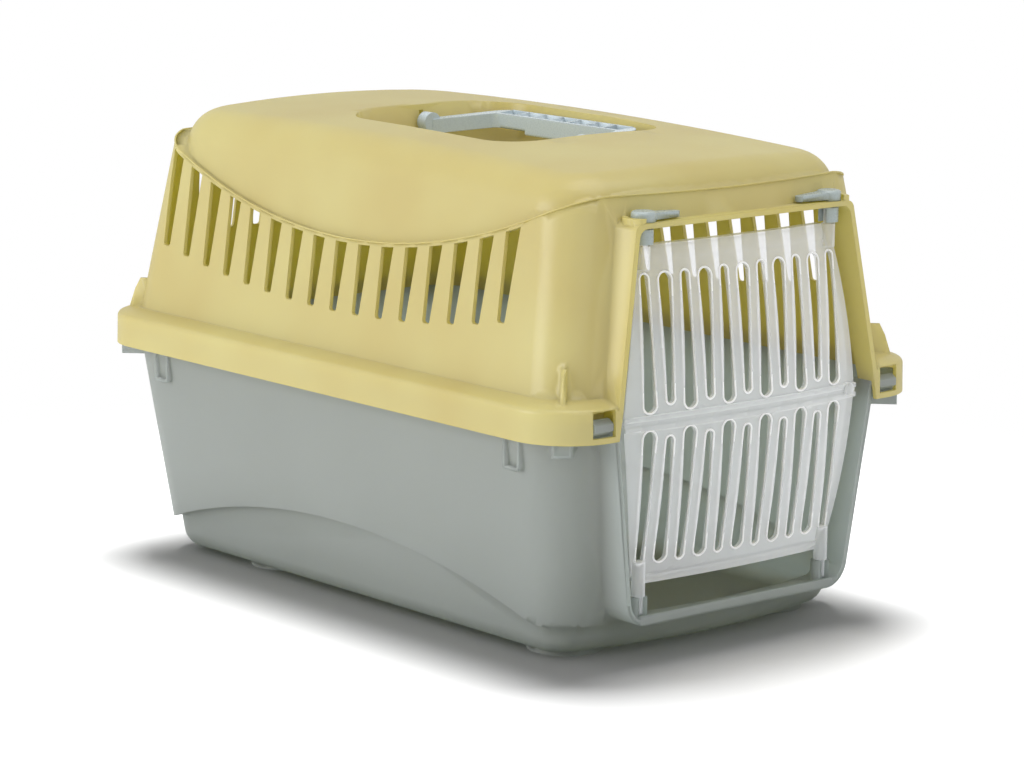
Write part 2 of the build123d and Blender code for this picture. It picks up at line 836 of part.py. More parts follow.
def handle_grip():
    """Grip bar with a deeper palm part in its middle."""
    half = grip_half - handle_corner / 2
    pieces = []
    for foot, reach in ((grip_foot, half), (palm_foot, palm_half)):
        far = (grip_far, grip_far_top)
        section = closed((grip_near, foot), (grip_far, foot), far, (grip_near, grip_near_top))
        section = fillet(section.vertices(), grip_round)
        pieces.append(extrude(Plane.XZ * section, amount=reach, both=True))
    return pieces[0] + pieces[1]


def carry_handle():
    """Bail that lies folded in the hand recess and swings over its two end pins."""
    inner_half = handle_arm_half - handle_arm_width
    bail = handle_arms() + handle_grip()
    size = (grip_far - grip_near - 2 * grip_cell_web, grip_cell_pitch - grip_cell_web, 2 * grip_cell_depth)
    for index in range(grip_cells):
        y = (index - (grip_cells - 1) / 2) * grip_cell_pitch
        bail -= Pos((grip_near + grip_far) / 2, y, grip_near_top + grip_cell_depth / 2) * Box(*size)
    run = recess_half_length - (crown_height - handle_height) * slope(recess_draft)
    pin_end = run + pan_wall + free_gap
    for end in (-1, 1):
        hub = Rot(90, 0, 0) * Cylinder(handle_hub_radius, handle_arm_width)
        bail += Pos(0, end * (handle_arm_half - handle_arm_width / 2), 0) * hub
        pin = Rot(90, 0, 0) * Cylinder(handle_pin_radius, pin_end - inner_half)
        bail += Pos(0, end * (pin_end + inner_half) / 2, 0) * pin
    return Pos(0, recess_centre, handle_height) * bail


def snap_tongue(side, end):
    """Springy tongue with a rounded root and a nose that catches in its window."""
    axis_height = tongue_seat + tongue_play + tongue_root
    inner = tongue_line - tongue_thickness / 2
    outer = tongue_line + tongue_thickness / 2
    reach = tongue_line + nose_reach
    rise = (tongue_top - nose_foot - nose_height) / 2
    outline = closed(
        (inner, axis_height),
        (outer, axis_height),
        (outer, nose_foot),
        (reach, nose_foot + rise),
        (reach, nose_foot + rise + nose_height),
        (outer, tongue_top),
        (inner, tongue_top),
    )
    face = outline + Pos(tongue_line, axis_height) * Circle(tongue_root)
    tongue = extrude(Plane.YZ * face, amount=tongue_width / 2, both=True)
    if end < 0:
        tongue = mirror(tongue, Plane.XZ)
    return Pos(side * tongue_centre, 0, 0) * tongue


os.makedirs("parts", exist_ok=True)
nodes = {
    "upper_shell": upper_shell(),
    "lower_shell": lower_shell(),
    "door": door(),
    "carry_handle": carry_handle(),
    "latch_lever_left": latch_lever(-1),
    "latch_lever_right": latch_lever(1),
    "snap_tongue_front_left": snap_tongue(-1, -1),
    "snap_tongue_front_right": snap_tongue(1, -1),
    "snap_tongue_back_left": snap_tongue(-1, 1),
    "snap_tongue_back_right": snap_tongue(1, 1),
}
for name, solid in nodes.items():
    export_step(solid, "parts/" + name + ".step")
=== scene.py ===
"""Looks of a two-shell pet carrier with a slotted swing door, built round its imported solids."""

import logging
import math
from dataclasses import dataclass
from enum import Enum
from typing import Dict, List, Optional, Tuple, Union

import bmesh
import bpy
from mathutils import Matrix, Vector


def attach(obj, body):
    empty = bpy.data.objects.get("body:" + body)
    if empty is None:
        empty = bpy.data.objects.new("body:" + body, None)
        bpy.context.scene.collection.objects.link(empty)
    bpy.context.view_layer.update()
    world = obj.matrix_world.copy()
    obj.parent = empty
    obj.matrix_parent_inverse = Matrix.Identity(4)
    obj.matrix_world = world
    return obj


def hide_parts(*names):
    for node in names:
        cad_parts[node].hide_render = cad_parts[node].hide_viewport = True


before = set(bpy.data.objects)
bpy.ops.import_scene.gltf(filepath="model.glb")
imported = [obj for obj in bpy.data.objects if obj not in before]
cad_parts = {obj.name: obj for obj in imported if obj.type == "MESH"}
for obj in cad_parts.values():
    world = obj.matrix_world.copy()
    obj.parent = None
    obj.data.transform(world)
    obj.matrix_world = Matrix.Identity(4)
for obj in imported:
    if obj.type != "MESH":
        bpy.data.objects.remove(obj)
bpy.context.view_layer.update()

LOG = logging.getLogger("pet_carrier")
MM = 0.001
POLYPROPYLENE_IOR = 1.49
# Blender's noise keeps mostly between these two values.
NOISE_LOW, NOISE_HIGH = 0.3, 0.7
# Socket numbers of a Mix node for colours: the first colour, the second, and the result.
MIX_FIRST, MIX_SECOND, MIX_RESULT = 6, 7, 2
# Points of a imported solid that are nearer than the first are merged; edges under the second go.
MERGE_MM, SLIVER_MM = 0.01, 0.03
# How far the larger faces lead the shading along shared edges; 50 is even, 100 the most.
FACE_LEAD = 80
# Sides of a bead's round section.
BEAD_SIDES = 8
MATH = "ShaderNodeMath"

Node = bpy.types.Node
NodeTree = bpy.types.NodeTree
Mesh = bpy.types.Mesh
Material = bpy.types.Material
Point = Tuple[float, float, float]
Colour = Tuple[float, float, float, float]
Feed = Union[bpy.types.NodeSocket, Node, Colour, Point, float]

WHITE: Colour = (1.0, 1.0, 1.0, 1.0)


class Slot(Enum):
    """Material slots of the record."""

    YELLOW = "yellow_plastic"
    GREY = "grey_plastic"
    LIGHT_GREY = "light_grey_plastic"
    CLEAR = "clear_plastic"


class Taper(Enum):
    """Which end of a door slot is the wide one."""

    WIDE_TOP = "wide_top"
    WIDE_FOOT = "wide_foot"


def linear(hex_colour: str) -> Colour:
    """Turn an sRGB hex colour into linear light.

    Args:
        hex_colour: six hex digits after a hash sign.

    Returns:
        Red, green, blue and an alpha of one.
    """
    channels = [int(hex_colour[i:i + 2], 16) / 255 for i in (1, 3, 5)]
    # The sRGB standard's own numbers: a straight foot, then a power of 2.4.
    red, green, blue = (
        c / 12.92 if c <= 0.04045 else ((c + 0.055) / 1.055) ** 2.4 for c in channels
    )
    return red, green, blue, 1.0


def add(
    tree: NodeTree, kind: str, settings: Optional[Dict] = None, inputs: Optional[Dict] = None
) -> Node:
    """Add one node with its settings and links.

    Args:
        tree: node tree that gets the node.
        kind: Blender's name of the node type.
        settings: attributes of the node.
        inputs: socket name or number, and what feeds it: a value, a socket, or a node that
            gives its first output.

    Returns:
        The new node.
    """
    node = tree.nodes.new(kind)
    for name, value in (settings or {}).items():
        setattr(node, name, value)
    for name, feed in (inputs or {}).items():
        source = feed.outputs[0] if isinstance(feed, Node) else feed
        if isinstance(source, bpy.types.NodeSocket):
            tree.links.new(source, node.inputs[name])
        else:
            node.inputs[name].default_value = source
    return node


def new_material(name: str) -> Tuple[Material, NodeTree]:
    """Make a node material without nodes.

    Args:
        name: name of the material.

    Returns:
        The material and its node tree.
    """
    material = bpy.data.materials.new(name)
    material.use_nodes = True
    material.node_tree.nodes.clear()
    return material, material.node_tree


@dataclass(frozen=True)
class MouldedPolypropylene:
    """Coloured polypropylene from a spark-eroded mould.

    Its skin is satin, its colour drifts a little towards the shade, and a share of the light
    goes through its thin walls in the colour of the glow.
    """

    name: str
    colour: str
    shade: str
    glow: str
    through: float
    roughness: float = 0.33
    roughness_spread: float = 0.04
    grain_mm: float = 1.0
    grain_depth_mm: float = 0.02
    grain_detail: float = 3.0
    cloud_mm: float = 80.0
    cloud_detail: float = 2.0
    edge_mm: float = 0.8
    edge_samples: int = 4

    def material(self) -> Material:
        """Build the plastic: clouds in its colour, grain in its skin, light through its wall.

        Returns:
            The finished material.
        """
        material, tree = new_material(self.name)
        place = add(tree, "ShaderNodeTexCoord").outputs["Object"]
        # Flow of the melt leaves clouds about a hand wide, hardly darker than the rest.
        clouds = {"Vector": place, "Scale": 1 / (self.cloud_mm * MM), "Detail": self.cloud_detail}
        cloud = add(tree, "ShaderNodeTexNoise", inputs=clouds)
        spread = add(
            tree,
            "ShaderNodeMapRange",
            inputs={"Value": cloud, "From Min": NOISE_LOW, "From Max": NOISE_HIGH},
        )
        colour = add(
            tree,
            "ShaderNodeMix",
            {"data_type": "RGBA"},
            {0: spread, MIX_FIRST: linear(self.colour), MIX_SECOND: linear(self.shade)},
        )
        # The eroded grain is about 0.1 mm wide on such a mould, too fine for the render, so it
        # is drawn ten times as coarse and still breaks up the gloss.
        grains = {"Vector": place, "Scale": 1 / (self.grain_mm * MM), "Detail": self.grain_detail}
        grain = add(tree, "ShaderNodeTexNoise", inputs=grains)
        # Moulded edges are never sharp; they catch a thin line of light.
        edge = add(
            tree,
            "ShaderNodeBevel",
            {"samples": self.edge_samples},
            {"Radius": self.edge_mm * MM},
        )
        skin = add(
            tree,
            "ShaderNodeBump",
            inputs={"Height": grain, "Distance": self.grain_depth_mm * MM, "Normal": edge},
        )
        gloss = add(
            tree,
            "ShaderNodeMapRange",
            inputs={
                "Value": grain,
                "From Min": NOISE_LOW,
                "From Max": NOISE_HIGH,
                "To Min": self.roughness - self.roughness_spread,
                "To Max": self.roughness + self.roughness_spread,
            },
        )
        plastic = add(
            tree,
            "ShaderNodeBsdfPrincipled",
            inputs={
                "Base Color": colour.outputs[MIX_RESULT],
                "Roughness": gloss,
                "Normal": skin,
                "IOR": POLYPROPYLENE_IOR,
            },
        )
        behind = add(tree, "ShaderNodeBsdfTranslucent", inputs={"Color": linear(self.glow)})
        wall = add(
            tree, "ShaderNodeMixShader", inputs={0: self.through, 1: plastic, 2: behind}
        )
        add(tree, "ShaderNodeOutputMaterial", inputs={"Surface": wall})
        return material


@dataclass(frozen=True)
class NaturalPolypropylene:
    """Uncoloured polypropylene from a polished mould.

    It is milky and seen through where thin. Its cover goes from body, looked at straight, to
    rim, looked at along the surface.
    """

    name: str = "natural_polypropylene_polished"
    colour: str = "#F9FBFF"
    body: float = 0.33
    rim: float = 0.87
    through: float = 0.12
    roughness: float = 0.2
    wave_mm: float = 25.0
    wave_depth_mm: float = 0.12
    wave_detail: float = 1.0
    slant_blend: float = 0.35
    slant_low: float = 0.15
    slant_high: float = 0.85

    def material(self) -> Material:
        """Build the milky plastic; a slanting look crosses more of it, so it is whiter there.

        Returns:
            The finished material.
        """
        material, tree = new_material(self.name)
        slant = add(tree, "ShaderNodeLayerWeight", inputs={"Blend": self.slant_blend})
        haze = add(
            tree,
            "ShaderNodeMapRange",
            inputs={
                "Value": slant.outputs["Facing"],
                "From Min": self.slant_low,
                "From Max": self.slant_high,
                "To Min": self.body,
                "To Max": self.rim,
            },
        )
        place = add(tree, "ShaderNodeTexCoord").outputs["Object"]
        # The cooled sheet is never quite even; its slight waves bend the reflections.
        waves = {"Vector": place, "Scale": 1 / (self.wave_mm * MM), "Detail": self.wave_detail}
        wave = add(tree, "ShaderNodeTexNoise", inputs=waves)
        skin = add(
            tree, "ShaderNodeBump", inputs={"Height": wave, "Distance": self.wave_depth_mm * MM}
        )
        plastic = add(
            tree,
            "ShaderNodeBsdfPrincipled",
            inputs={
                "Base Color": linear(self.colour),
                "Roughness": self.roughness,
                "Normal": skin,
                "IOR": POLYPROPYLENE_IOR,
            },
        )
        behind = add(tree, "ShaderNodeBsdfTranslucent", inputs={"Color": linear(self.colour)})
        milk = add(
            tree, "ShaderNodeMixShader", inputs={0: self.through, 1: plastic, 2: behind}
        )
        clear = add(tree, "ShaderNodeBsdfTransparent")
        sheet = add(tree, "ShaderNodeMixShader", inputs={0: haze, 1: clear, 2: milk})
        add(tree, "ShaderNodeOutputMaterial", inputs={"Surface": sheet})
        return material


# Pale yellow, satin; against the light its thin walls turn a deeper, greener yellow.
YELLOW = MouldedPolypropylene("yellow_polypropylene_satin", "#E3D99F", "#DCCD92", "#D6CF2C", 0.45)
# Mid grey, satin, and the walls that let the most light into the cabin.
GREY = MouldedPolypropylene(
    "grey_polypropylene_satin", "#ACAFAE", "#A8ABAA", "#D5DEDA", 0.52, edge_mm=0.5
)
# Bluish greys of the small mouldings, which are one plastic: thicker, so hardly any light comes
# through, and glossier; the handle's lighter grey is painted light from above.
LEVER_GREY = MouldedPolypropylene(
    "light_grey_polypropylene_satin", "#ABB6B5", "#A6B1B0", "#B8C3C4", 0.1, 0.28
)
# Painted light: the handle's copy of the levers' plastic is lighter, standing in for the top light
# that falls on it.
HANDLE_GREY_PAINTED_TOP_LIGHT = MouldedPolypropylene(
    "pale_grey_polypropylene_painted_top_light", "#C4D1D7", "#BFCCD2", "#B8C3C4", 0.1, 0.28
)
# The door's sheet, and the beads round its slots, where the same plastic is thicker and whiter.
CLEAR = NaturalPolypropylene()
BEAD = NaturalPolypropylene("natural_polypropylene_thick", "#FFFFFF", 0.92, 1.0)


def open_tree(name: str, sizes: Dict[str, str]) -> Tuple[NodeTree, Node]:
    """Start a geometry tree with named inputs.

    Args:
        name: name of the tree.
        sizes: name of each input and its socket type.

    Returns:
        The tree and its input node.
    """
    tree = bpy.data.node_groups.new(name, "GeometryNodeTree")
    inputs = {"Geometry": "NodeSocketGeometry", **sizes}
    for label, kind in inputs.items():
        tree.interface.new_socket(label, in_out="INPUT", socket_type=kind)
    tree.interface.new_socket("Geometry", in_out="OUTPUT", socket_type="NodeSocketGeometry")
    return tree, add(tree, "NodeGroupInput")


def close_tree(tree: NodeTree, geometry: Feed, finish: Feed) -> None:
    """End a geometry tree with real geometry in its finish.

    Args:
        tree: tree to close.
        geometry: what it has made.
        finish: material of what it has made.
    """
    smooth = add(tree, "GeometryNodeSetShadeSmooth", inputs={0: geometry})
    whole = add(tree, "GeometryNodeRealizeInstances", inputs={0: smooth})
    coat = add(tree, "GeometryNodeSetMaterial", inputs={0: whole, "Material": finish})
    add(tree, "NodeGroupOutput", inputs={0: coat})


def grown(
    name: str, tree: NodeTree, values: Dict[str, object], start: Optional[Mesh] = None
) -> Mesh:
    """Run a geometry tree once and keep its result as a plain mesh.

    Args:
        name: name of the result.
        tree: tree to run.
        values: value of each named input.
        start: mesh that the tree starts from.

    Returns:
        The finished mesh.
    """
    start = start or bpy.data.meshes.new(name + "_start")
    carrier = bpy.data.objects.new(name + "_start", start)
    bpy.context.scene.collection.objects.link(carrier)
    modifier = carrier.modifiers.new("rule", "NODES")
    modifier.node_group = tree
    for socket in tree.interface.items_tree:
        if socket.in_out == "INPUT" and socket.name in values:
            modifier[socket.identifier] = values[socket.name]
    graph = bpy.context.evaluated_depsgraph_get()
    mesh = bpy.data.meshes.new_from_object(carrier.evaluated_get(graph), depsgraph=graph)
    mesh.name = name
    carrier.modifiers.remove(modifier)
    bpy.data.objects.remove(carrier)
    return mesh


def join(name: str, meshes: List[Mesh], material: Material) -> Mesh:
    """Join plain meshes into one in one finish.

    Args:
        name: name of the result.
        meshes: meshes to join.
        material: finish of them all.

    Returns:
        The joined mesh.
    """
    form = bmesh.new()
    for mesh in meshes:
        form.from_mesh(mesh)
    whole = bpy.data.meshes.new(name)
    form.to_mesh(whole)
    form.free()
    whole.shade_smooth()
    whole.materials.append(material)
    return whole


def place_piece(name: str, mesh: Mesh, body: str) -> bpy.types.Object:
    """Put a finished mesh in the scene on its body.

    Args:
        name: name of the piece.
        mesh: its finished mesh.
        body: body that it rides on.

    Returns:
        The piece.
    """
    piece = bpy.data.objects.new(name, mesh)
    bpy.context.scene.collection.objects.link(piece)
    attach(piece, body)
    LOG.info("made %s with %d faces", name, len(mesh.polygons))
    return piece


def merged_copy(node: str) -> Mesh:
    """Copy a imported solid's loose triangles and merge them.

    Args:
        node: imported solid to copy.

    Returns:
        The merged mesh.
    """
    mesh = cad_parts[node].data.copy()
    mesh.name = node + "_skin"
    form = bmesh.new()
    form.from_mesh(mesh)
    bmesh.ops.remove_doubles(form, verts=form.verts, dist=MERGE_MM * MM)
    bmesh.ops.dissolve_degenerate(form, edges=form.edges, dist=SLIVER_MM * MM)
    form.to_mesh(mesh)
    form.free()
    if mesh.has_custom_normals:
        # A zero normal hands the corner back to Blender's own shading.
        mesh.normals_split_custom_set([(0.0, 0.0, 0.0)] * len(mesh.loops))
    return mesh


def smooth_twin(
    node: str,
    body: str,
    material: Material,
    sharp_deg: float = 26.0,
    flat_below_mm: float = 0.0,
) -> bpy.types.Object:
    """Stand a merged twin, shaded as flat as its large faces are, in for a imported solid.

    Args:
        node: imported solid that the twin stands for.
        body: body that it rides on.
        material: finish of the twin.
        sharp_deg: edges that turn by more stay sharp.
        flat_below_mm: edges under this height stay sharp whatever they turn by.

    Returns:
        The twin.
    """
    mesh = merged_copy(node)
    mesh.shade_smooth()
    mesh.set_sharp_from_angle(angle=math.radians(sharp_deg))
    for edge in mesh.edges:
        if max(mesh.vertices[end].co.z for end in edge.vertices) < flat_below_mm * MM:
            edge.use_edge_sharp = True
    draft = bpy.data.objects.new(node + "_draft", mesh)
    bpy.context.scene.collection.objects.link(draft)
    weigh = draft.modifiers.new("large_faces_lead", "WEIGHTED_NORMAL")
    weigh.mode = "FACE_AREA"
    weigh.weight = FACE_LEAD
    weigh.keep_sharp = True
    graph = bpy.context.evaluated_depsgraph_get()
    skin = bpy.data.meshes.new_from_object(draft.evaluated_get(graph), depsgraph=graph)
    bpy.data.objects.remove(draft)
    skin.name = node + "_skin"
    skin.materials.clear()
    skin.materials.append(material)
    twin = place_piece(node + "_skin", skin, body)
    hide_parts(node)
    return twin


@dataclass
class UpperShell:
    """Yellow upper shell and the bead along its neckline, in millimetres.

    The neckline runs level round the cap, and on the sides it dips on an arc.
    """

    body: str = "shells"
    neck_low: float = 228.8
    neck_radius: float = 476.0
    neck_level: float = 273.5
    near: float = 0.12
    bead_radius: float = 0.6
    crest_deg: float = 30.0

    def build(self) -> None:
        """Dress the shell and run the bead round its cap."""
        material = YELLOW.material()
        smooth_twin("upper_shell", self.body, material)
        values = {
            "Radius": self.bead_radius * MM,
            "Crest": math.radians(self.crest_deg),
            "Finish": material,
        }
        bead = grown("neckline_bead", self.bead_tree(), values, merged_copy("upper_shell"))
        place_piece("neckline_bead", bead, self.body)

    def bead_tree(self) -> NodeTree:
        """Sweep a bead along the outer edge where the walls end at the neckline.

        Returns:
            The finished tree.
        """
        sizes = {
            "Radius": "NodeSocketFloat",
            "Crest": "NodeSocketFloat",
            "Finish": "NodeSocketMaterial",
        }
        tree, given = open_tree("neckline_bead", sizes)
        place = add(tree, "GeometryNodeInputPosition")
        at = add(tree, "ShaderNodeSeparateXYZ", inputs={0: place})
        from_side = add(
            tree, "ShaderNodeVectorMath", {"operation": "MULTIPLY"}, {0: place, 1: (0.0, 1.0, 1.0)}
        )
        dip_centre = (0.0, 0.0, (self.neck_low + self.neck_radius) * MM)
        reach = add(
            tree, "ShaderNodeVectorMath", {"operation": "DISTANCE"}, {0: from_side, 1: dip_centre}
        )
        on_dip = add(
            tree,
            MATH,
            {"operation": "COMPARE"},
            {0: reach.outputs["Value"], 1: self.neck_radius * MM, 2: self.near * MM},
        )
        on_level = add(
            tree,
            MATH,
            {"operation": "COMPARE"},
            {0: at.outputs["Z"], 1: self.neck_level * MM, 2: self.near * MM},
        )
        on_line = add(tree, MATH, {"operation": "MAXIMUM"}, {0: on_dip, 1: on_level})
        turn = add(tree, "GeometryNodeInputMeshEdgeAngle")
        crest = add(
            tree,
            MATH,
            {"operation": "GREATER_THAN"},
            {0: turn.outputs["Signed Angle"], 1: given.outputs["Crest"]},
        )
        ends = add(tree, "GeometryNodeInputMeshEdgeVertices")
        first, second = (
            add(
                tree,
                "GeometryNodeSampleIndex",
                {"data_type": "FLOAT", "domain": "POINT"},
                {0: given.outputs["Geometry"], "Value": on_line, "Index": ends.outputs[end]},
            ).outputs["Value"]
            for end in ("Vertex Index 1", "Vertex Index 2")
        )
        both = add(tree, MATH, {"operation": "MULTIPLY"}, {0: first, 1: second})
        chosen = add(tree, MATH, {"operation": "MULTIPLY"}, {0: both, 1: crest})
        line = add(
            tree,
            "GeometryNodeMeshToCurve",
            inputs={0: given.outputs["Geometry"], "Selection": chosen},
        )
        ring = add(
            tree,
            "GeometryNodeCurvePrimitiveCircle",
            inputs={"Resolution": BEAD_SIDES, "Radius": given.outputs["Radius"]},
        )
        bead = add(
            tree, "GeometryNodeCurveToMesh", inputs={"Curve": line, "Profile Curve": ring}
        )
        close_tree(tree, bead, given.outputs["Finish"])
        return tree


@dataclass
class LowerShell:
    """Grey lower shell with its four snap tongues, in millimetres."""

    body: str = "shells"
    sharp_deg: float = 40.0
    pad_height: float = 3.1

    def build(self) -> None:
        """Dress the tub, whose foot pads are shaded flat, and the tongues."""
        material = GREY.material()
        smooth_twin(
            "lower_shell", self.body, material, self.sharp_deg, self.pad_height
        )
        for side in ("left", "right"):
            for end in ("front", "back"):
                place = end + "_" + side
                smooth_twin("snap_tongue_" + place, "tongue_" + place, material)


@dataclass
class SlottedDoor:
    """Bulged door panel with a raised bead round each slot, in millimetres.

    The slots stand in two rows. In each, wide and narrow ends alternate from slot to slot, and
    every second slot is shorter by the stagger.
    """

    body: str = "door"
    bow_upright: float = 470.0
    bow_across: float = 810.0
    front: float = 226.5
    middle: float = 145.0
    pitch: float = 14.9
    columns: int = 11
    wide: float = 9.0
    narrow: float = 5.5
    upper_top: float = 229.0
    upper_foot: float = 149.5
    lower_top: float = 138.6
    lower_foot: float = 59.0
    stagger: float = 4.2
    bead_radius: float = 0.65
    bead_margin: float = 0.55
    outline_points: int = 28
    outline_split: float = -0.001

    def build(self) -> None:
        """Dress the panel and lay the beads."""
        smooth_twin("door", self.body, CLEAR.material())
        tree = self.bead_tree()
        rows = (
            (0, Taper.WIDE_FOOT, self.upper_top, self.upper_foot),
            (1, Taper.WIDE_TOP, self.upper_top, self.upper_foot + self.stagger),
            (0, Taper.WIDE_TOP, self.lower_top, self.lower_foot),
            (1, Taper.WIDE_FOOT, self.lower_top - self.stagger, self.lower_foot),
        )
        thick = BEAD.material()
        beads = [self.bead_row(tree, number, row, thick) for number, row in enumerate(rows)]
        place_piece("slot_beads", join("slot_beads", beads, thick), self.body)

    def bead_row(
        self, tree: NodeTree, number: int, row: Tuple[int, Taper, float, float], finish: Material
    ) -> Mesh:
        """Make the beads of every second slot in a row.

        Args:
            tree: tree that makes them.
            number: number of the row, for its name.
            row: first column, taper, height of the top end and of the foot end.
            finish: material of the beads.

        Returns:
            One mesh with all the beads of the row.
        """
        first, taper, top, foot = row
        top_width = self.wide if taper is Taper.WIDE_TOP else self.narrow
        foot_width = self.wide if taper is Taper.WIDE_FOOT else self.narrow
        values = {
            "Count": (self.columns - first + 1) // 2,
            "Start": (first - (self.columns - 1) / 2) * self.pitch * MM,
            "Pitch": 2 * self.pitch * MM,
            "Top Centre": (top - top_width / 2) * MM,
            "Top Radius": (top_width / 2 + self.bead_margin) * MM,
            "Foot Centre": (foot + foot_width / 2) * MM,
            "Foot Radius": (foot_width / 2 + self.bead_margin) * MM,
            "Bead Radius": self.bead_radius * MM,
            "Finish": finish,
        }
        return grown("slot_beads_%d" % number, tree, values)

    def bead_tree(self) -> NodeTree:
        """Repeat a tapering outline across the door and bend it onto the bulge.

        Returns:
            The finished tree.
        """
        lengths = (
            "Start",
            "Pitch",
            "Top Centre",
            "Top Radius",
            "Foot Centre",
            "Foot Radius",
            "Bead Radius",
        )
        sizes = {"Count": "NodeSocketInt", "Finish": "NodeSocketMaterial"}
        sizes.update({name: "NodeSocketFloat" for name in lengths})
        tree, given = open_tree("slot_beads", sizes)
        place = add(tree, "GeometryNodeInputPosition")
        at = add(tree, "ShaderNodeSeparateXYZ", inputs={0: place})
        circle = add(
            tree,
            "GeometryNodeCurvePrimitiveCircle",
            inputs={"Resolution": self.outline_points, "Radius": 1.0},
        )
        # Pull the circle's halves apart; the split lies a hair low, so that its two widest
        # points go with the top end.
        upper = add(
            tree,
            MATH,
            {"operation": "GREATER_THAN"},
            {0: at.outputs["Y"], 1: self.outline_split},
        )
        radius, centre = (
            add(
                tree,
                "GeometryNodeSwitch",
                {"input_type": "FLOAT"},
                {
                    "Switch": upper,
                    "True": given.outputs["Top " + size],
                    "False": given.outputs["Foot " + size],
                },
            )
            for size in ("Radius", "Centre")
        )
        across = add(tree, MATH, {"operation": "MULTIPLY"}, {0: radius, 1: at.outputs["X"]})
        height = add(
            tree, MATH, {"operation": "MULTIPLY_ADD"}, {0: radius, 1: at.outputs["Y"], 2: centre}
        )
        shaped = add(tree, "ShaderNodeCombineXYZ", inputs={"X": across, "Z": height})
        outline = add(tree, "GeometryNodeSetPosition", inputs={0: circle, "Position": shaped})
        start = add(tree, "ShaderNodeCombineXYZ", inputs={"X": given.outputs["Start"]})
        step = add(tree, "ShaderNodeCombineXYZ", inputs={"X": given.outputs["Pitch"]})
        columns = add(
            tree,
            "GeometryNodeMeshLine",
            inputs={"Count": given.outputs["Count"], "Start Location": start, "Offset": step},
        )
        row = add(
            tree, "GeometryNodeInstanceOnPoints", inputs={0: columns, "Instance": outline}
        )
        flat = add(tree, "GeometryNodeRealizeInstances", inputs={0: row})
        bent = add(
            tree,
            "GeometryNodeSetPosition",
            inputs={0: flat, "Position": self.on_bulge(tree, at)},
        )
        ring = add(
            tree,
            "GeometryNodeCurvePrimitiveCircle",
            inputs={"Resolution": BEAD_SIDES, "Radius": given.outputs["Bead Radius"]},
        )
        bead = add(
            tree, "GeometryNodeCurveToMesh", inputs={"Curve": bent, "Profile Curve": ring}
        )
        close_tree(tree, bead, given.outputs["Finish"])
        return tree

    def on_bulge(self, tree: NodeTree, at: Node) -> Node:
        """Bring a point of the flat row onto the door's outer face.

        The face is an upright arc, turned about an upright axis behind it.

        Args:
            tree: tree that gets the nodes.
            at: node with the point's coordinates.

        Returns:
            Node that gives the bent place.
        """
        upright, across = self.bow_upright * MM, self.bow_across * MM
        rise = add(
            tree, MATH, {"operation": "SUBTRACT"}, {0: at.outputs["Z"], 1: self.middle * MM}
        )
        rise_square = add(tree, MATH, {"operation": "MULTIPLY"}, {0: rise, 1: rise})
        arc_square = add(
            tree, MATH, {"operation": "SUBTRACT"}, {0: upright * upright, 1: rise_square}
        )
        arc = add(tree, MATH, {"operation": "SQRT"}, {0: arc_square})
        turn = add(tree, MATH, {"operation": "ADD"}, {0: arc, 1: across - upright})
        turn_square = add(tree, MATH, {"operation": "MULTIPLY"}, {0: turn, 1: turn})
        aside = at.outputs["X"]
        aside_square = add(tree, MATH, {"operation": "MULTIPLY"}, {0: aside, 1: aside})
        square = add(tree, MATH, {"operation": "SUBTRACT"}, {0: turn_square, 1: aside_square})
        out = add(tree, MATH, {"operation": "SQRT"}, {0: square})
        depth = add(
            tree, MATH, {"operation": "SUBTRACT"}, {0: across - self.front * MM, 1: out}
        )
        where = {"X": aside, "Y": depth, "Z": at.outputs["Z"]}
        return add(tree, "ShaderNodeCombineXYZ", inputs=where)


@dataclass
class Fittings:
    """Latch levers and carrying handle."""

    sides: Tuple[str, str] = ("left", "right")

    def build(self) -> None:
        """Dress the handle and the levers."""
        # The handle's lighter grey is painted top light.
        smooth_twin("carry_handle", "handle", HANDLE_GREY_PAINTED_TOP_LIGHT.material())
        material = LEVER_GREY.material()
        for side in self.sides:
            smooth_twin("latch_lever_" + side, "lever_" + side, material)


@dataclass(frozen=True)
class SoftBox:
    """Square lamp with a soft cover, in metres and watts."""

    name: str
    place: Point
    size: float
    watts: float

    def hang(self, aim: Point, lit: bpy.types.Collection) -> None:
        """Hang the lamp.

        Args:
            aim: point that it faces.
            lit: collection that says what it lights.
        """
        lamp = bpy.data.lights.new(self.name, "AREA")
        lamp.size = self.size
        lamp.energy = self.watts
        box = bpy.data.objects.new(self.name, lamp)
        box.location = self.place
        away = Vector(aim) - Vector(self.place)
        box.rotation_euler = away.to_track_quat("-Z", "Y").to_euler()
        bpy.context.scene.collection.objects.link(box)
        box.light_linking.receiver_collection = lit


